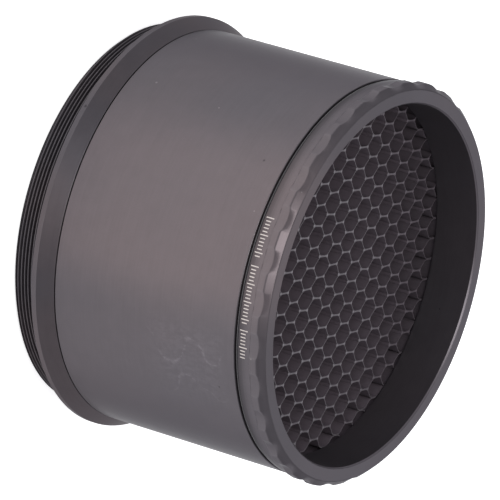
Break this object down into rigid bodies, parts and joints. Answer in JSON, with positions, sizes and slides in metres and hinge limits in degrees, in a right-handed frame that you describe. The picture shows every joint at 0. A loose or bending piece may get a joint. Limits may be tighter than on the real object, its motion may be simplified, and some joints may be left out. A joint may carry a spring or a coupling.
{
  "type": "honeycomb snoot",
  "caption": "Short screw-in tube with a fluted grip ring and a recessed honeycomb core that blocks stray light and glare from an optic or small lamp.",
  "frame": {"origin": "centre of the rear thread's end face, which is the face that it stands on", "axes": "+Z along the tube's axis, from the threaded rear towards the open front with the grip ring; +X and +Y are square to it"},
  "size_m": [0.0666, 0.0666, 0.0473],
  "materials": {
    "anodised": "satin black anodised, turned",
    "foil": "black anodised foil with bare grey edges",
    "seal": "matt black"
  },
  "bodies": {
    "hood": {"adapter_ring": "anodised", "body_tube": "anodised", "thread_o_ring": "seal", "core_sleeve": "foil", "core_ribbon_01": "foil", "core_ribbon_02": "foil", "core_ribbon_03": "foil", "core_ribbon_04": "foil", "core_ribbon_05": "foil", "core_ribbon_06": "foil", "core_ribbon_07": "foil", "core_ribbon_08": "foil", "core_ribbon_09": "foil", "core_ribbon_10": "foil", "core_ribbon_11": "foil", "core_ribbon_12": "foil", "core_ribbon_13": "foil", "core_ribbon_14": "foil", "core_ribbon_15": "foil", "core_ribbon_16": "foil", "core_ribbon_17": "foil", "core_ribbon_18": "foil", "core_ribbon_19": "foil", "core_ribbon_20": "foil", "core_ribbon_21": "foil", "core_ribbon_22": "foil", "core_ribbon_23": "foil", "core_ribbon_24": "foil", "core_ribbon_25": "foil", "core_ribbon_26": "foil", "core_ribbon_27": "foil", "core_ribbon_28": "foil", "core_ribbon_29": "foil", "core_ribbon_30": "foil", "core_ribbon_31": "foil", "core_ribbon_32": "foil", "core_ribbon_33": "foil", "core_ribbon_34": "foil"},
    "ring_seal": {"front_o_ring": "seal"},
    "grip_ring": {"front_ring": "anodised"}
  },
  "joints": [
    {"name": "ring_lift", "type": "slide", "parent": "hood", "child": "ring_seal", "axis": [0, 0, 1], "range_m": [0, 0.00225]},
    {"name": "ring_unscrew", "type": "hinge", "parent": "ring_seal", "child": "grip_ring", "pos_m": [0, 0, 0.0425], "axis": [0, 0, 1], "range_deg": [0, 1080]}
  ],
  "couplings": [
    {"joint": "ring_lift", "follows": "ring_unscrew", "m_per_rad": 0.00011937}
  ]
}
